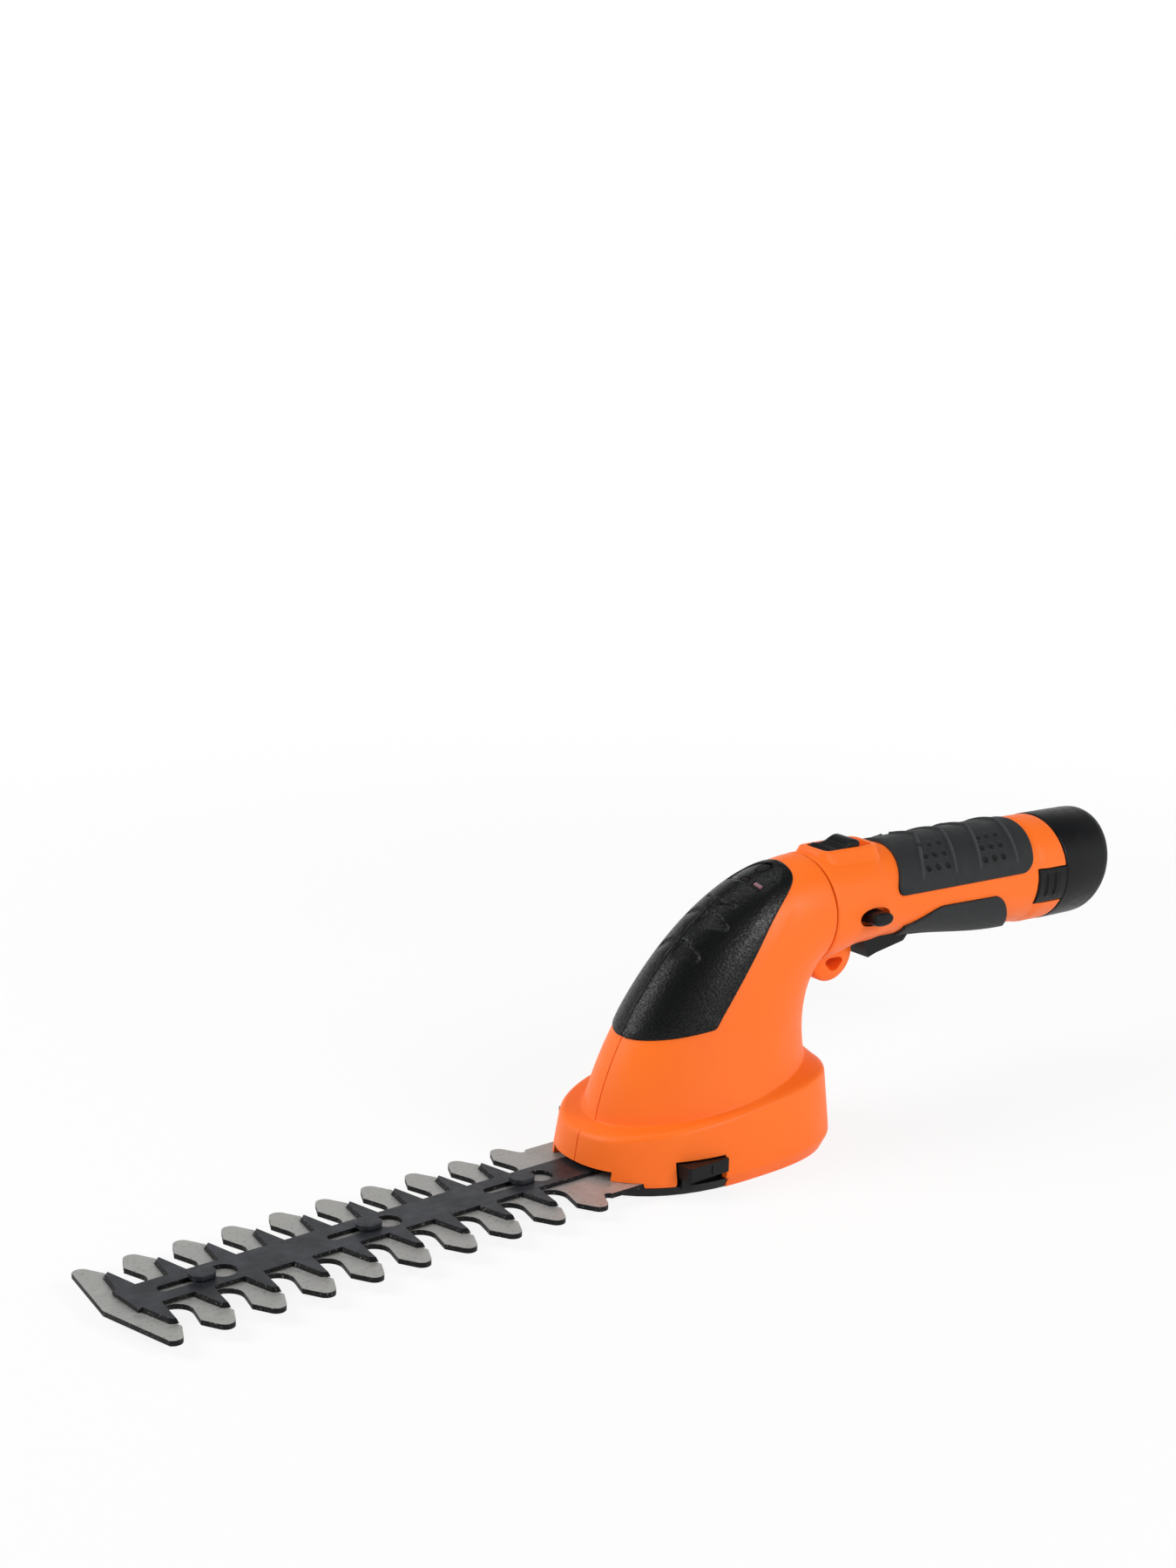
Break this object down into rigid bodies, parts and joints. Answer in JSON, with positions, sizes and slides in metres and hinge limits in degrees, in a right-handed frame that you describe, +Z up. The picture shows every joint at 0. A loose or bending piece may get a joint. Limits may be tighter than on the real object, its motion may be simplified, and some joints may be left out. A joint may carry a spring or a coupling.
{
  "type": "cordless garden shears",
  "caption": "Cordless hand-held garden shears with a double-sided shrub blade, a swivelling orange and black handle and a slide-in battery",
  "frame": {"origin": "middle of the base's underside, on the plane that it rests on", "axes": "+X to the rear along the handle, -X along the blade to its nose, +Y to the user's right, +Z up"},
  "size_m": [0.4771, 0.0788, 0.1137],
  "materials": {
    "orange_housing": "satin moulded, orange",
    "black_moulding": "fine grained, black",
    "soft_grip": "matt soft rubber, dark grey",
    "ground_steel": "ground flat, grey",
    "black_steel": "black coating with bright ground edges",
    "plated_steel": "zinc plated",
    "white_nylon": "natural, moulded",
    "bronze": "turned",
    "circuit_board": "green lacquer",
    "led_window": "milky window",
    "inner_plastic": "dark moulded",
    "cell_wrap": "shrink-wrapped cell",
    "contact_brass": "bright"
  },
  "bodies": {
    "head": {"head_shell_left": "orange_housing", "head_shell_right": "orange_housing", "hood_cover_left": "black_moulding", "hood_cover_right": "black_moulding", "gear_plate": "plated_steel", "plate_screws": "plated_steel", "motor_can": "plated_steel", "motor_end_bell": "inner_plastic", "crank_bush": "bronze", "swivel_collar": "black_moulding", "indicator_board": "circuit_board", "led_lenses": "led_window", "bottom_cover": "black_moulding", "bottom_screws": "plated_steel", "head_screws": "plated_steel", "latch_spring_left": "plated_steel", "latch_spring_right": "plated_steel"},
    "handle": {"handle_shell_left": "orange_housing", "handle_shell_right": "orange_housing", "top_grip": "soft_grip", "lower_grip": "soft_grip", "swivel_hub": "black_moulding", "handle_screws": "plated_steel", "switch_body": "inner_plastic", "switch_plunger": "inner_plastic", "terminal_block": "inner_plastic", "terminal_blades": "contact_brass", "trigger_pin": "plated_steel", "trigger_spring": "plated_steel", "slider_spring": "plated_steel"},
    "check_button": {"check_button": "black_moulding"},
    "blade_latch_left": {"blade_latch_left": "black_moulding"},
    "blade_latch_right": {"blade_latch_right": "black_moulding"},
    "crank": {"crank_gear": "white_nylon", "crank_shaft": "plated_steel", "crank_clip": "plated_steel", "crank_roller": "plated_steel"},
    "rotor": {"motor_shaft": "plated_steel", "motor_pinion": "bronze"},
    "blade_unit": {"blade_carrier": "black_moulding", "lower_blade": "ground_steel", "guide_studs": "black_steel", "carrier_rivets": "plated_steel"},
    "upper_blade": {"upper_blade": "black_steel"},
    "trigger": {"trigger": "black_moulding"},
    "lock_bolt": {"lock_bolt": "black_moulding"},
    "swivel_slider": {"swivel_slider": "black_moulding"},
    "battery": {"battery_cap": "black_moulding", "battery_stem": "black_moulding", "battery_cells": "cell_wrap", "battery_contacts": "contact_brass", "battery_board": "circuit_board"},
    "battery_latch_left": {"battery_latch_left": "black_moulding"},
    "battery_latch_right": {"battery_latch_right": "black_moulding"}
  },
  "joints": [
    {"name": "handle_swivel", "type": "hinge", "parent": "head", "child": "handle", "pos_m": [0.0545, 0, 0.0884], "axis": [0.9991, 0, -0.0419], "range_deg": [-90, 90]},
    {"name": "check_press", "type": "slide", "parent": "head", "child": "check_button", "axis": [0.2289, 0, -0.9735], "range_m": [0, 0.0008], "stiffness_N_per_m": 400},
    {"name": "blade_latch_left_press", "type": "slide", "parent": "head", "child": "blade_latch_left", "axis": [0, 1, 0], "range_m": [0, 0.003], "stiffness_N_per_m": 600, "deforming": ["latch_spring_left"]},
    {"name": "blade_latch_right_press", "type": "slide", "parent": "head", "child": "blade_latch_right", "axis": [0, -1, 0], "range_m": [0, 0.003], "stiffness_N_per_m": 600, "deforming": ["latch_spring_right"]},
    {"name": "crank_turn", "type": "hinge", "parent": "head", "child": "crank", "pos_m": [-0.018, 0, 0.0125], "axis": [0, 0, 1], "range_deg": [-5, 185]},
    {"name": "rotor_turn", "type": "hinge", "parent": "head", "child": "rotor", "pos_m": [0.006, 0, 0.0125], "axis": [0, 0, 1], "range_deg": [-930, 15]},
    {"name": "blade_unit_release", "type": "slide", "parent": "head", "child": "blade_unit", "axis": [0, 0, -1], "range_m": [0, 0.03]},
    {"name": "upper_blade_stroke", "type": "slide", "parent": "blade_unit", "child": "upper_blade", "axis": [1, 0, 0], "range_m": [0, 0.01]},
    {"name": "trigger_pull", "type": "hinge", "parent": "handle", "child": "trigger", "pos_m": [0.10549, 0, 0.07525], "axis": [0, 1, 0], "range_deg": [0, 8], "stiffness_Nm_per_rad": 0.6, "deforming": ["trigger_spring"]},
    {"name": "lock_push", "type": "slide", "parent": "handle", "child": "lock_bolt", "axis": [0, 1, 0], "range_m": [-0.003, 0.003], "stiffness_N_per_m": 500},
    {"name": "swivel_slider_pull", "type": "slide", "parent": "handle", "child": "swivel_slider", "axis": [0.9991, 0, -0.0419], "range_m": [0, 0.005], "stiffness_N_per_m": 500, "deforming": ["slider_spring"]},
    {"name": "battery_slide", "type": "slide", "parent": "handle", "child": "battery", "axis": [0.9991, 0, -0.0419], "range_m": [0, 0.08]},
    {"name": "battery_latch_left_press", "type": "slide", "parent": "battery", "child": "battery_latch_left", "axis": [0, 1, 0], "range_m": [0, 0.0012], "stiffness_N_per_m": 800},
    {"name": "battery_latch_right_press", "type": "slide", "parent": "battery", "child": "battery_latch_right", "axis": [0, -1, 0], "range_m": [0, 0.0012], "stiffness_N_per_m": 800}
  ],
  "couplings": [
    {"joint": "crank_turn", "follows": "upper_blade_stroke", "rad_per_m": 314.16},
    {"joint": "rotor_turn", "follows": "upper_blade_stroke", "rad_per_m": -1570.8}
  ]
}
